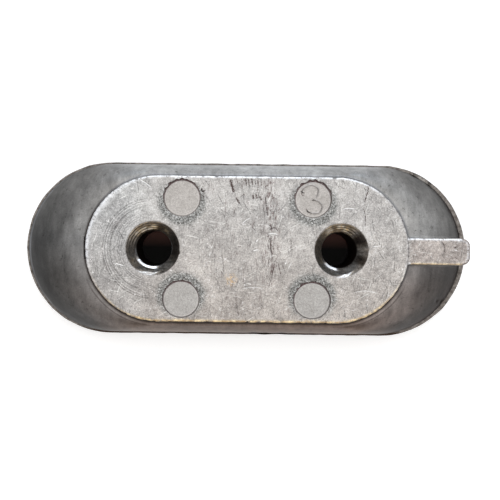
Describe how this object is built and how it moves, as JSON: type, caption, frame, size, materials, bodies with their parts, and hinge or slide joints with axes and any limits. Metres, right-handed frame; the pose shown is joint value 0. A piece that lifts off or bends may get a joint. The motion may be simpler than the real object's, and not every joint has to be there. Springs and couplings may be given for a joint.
{
  "type": "sacrificial anode",
  "caption": "Bolt-on sacrificial anode: an obround cast block with convex ends, a raised mounting pad, coned through bores and a locating tab.",
  "frame": {"origin": "middle of the flat front face, which the part rests on", "axes": "+Z out of the mounting pad, X along the length with the locating tab at +X, Y across the width"},
  "size_m": [0.1018, 0.0398, 0.015],
  "materials": {
    "cast_aluminium": "pressure die cast, dull grey skin, worn bright pad"
  },
  "bodies": {
    "root": {"anode_casting": "cast_aluminium"}
  },
  "joints": []
}
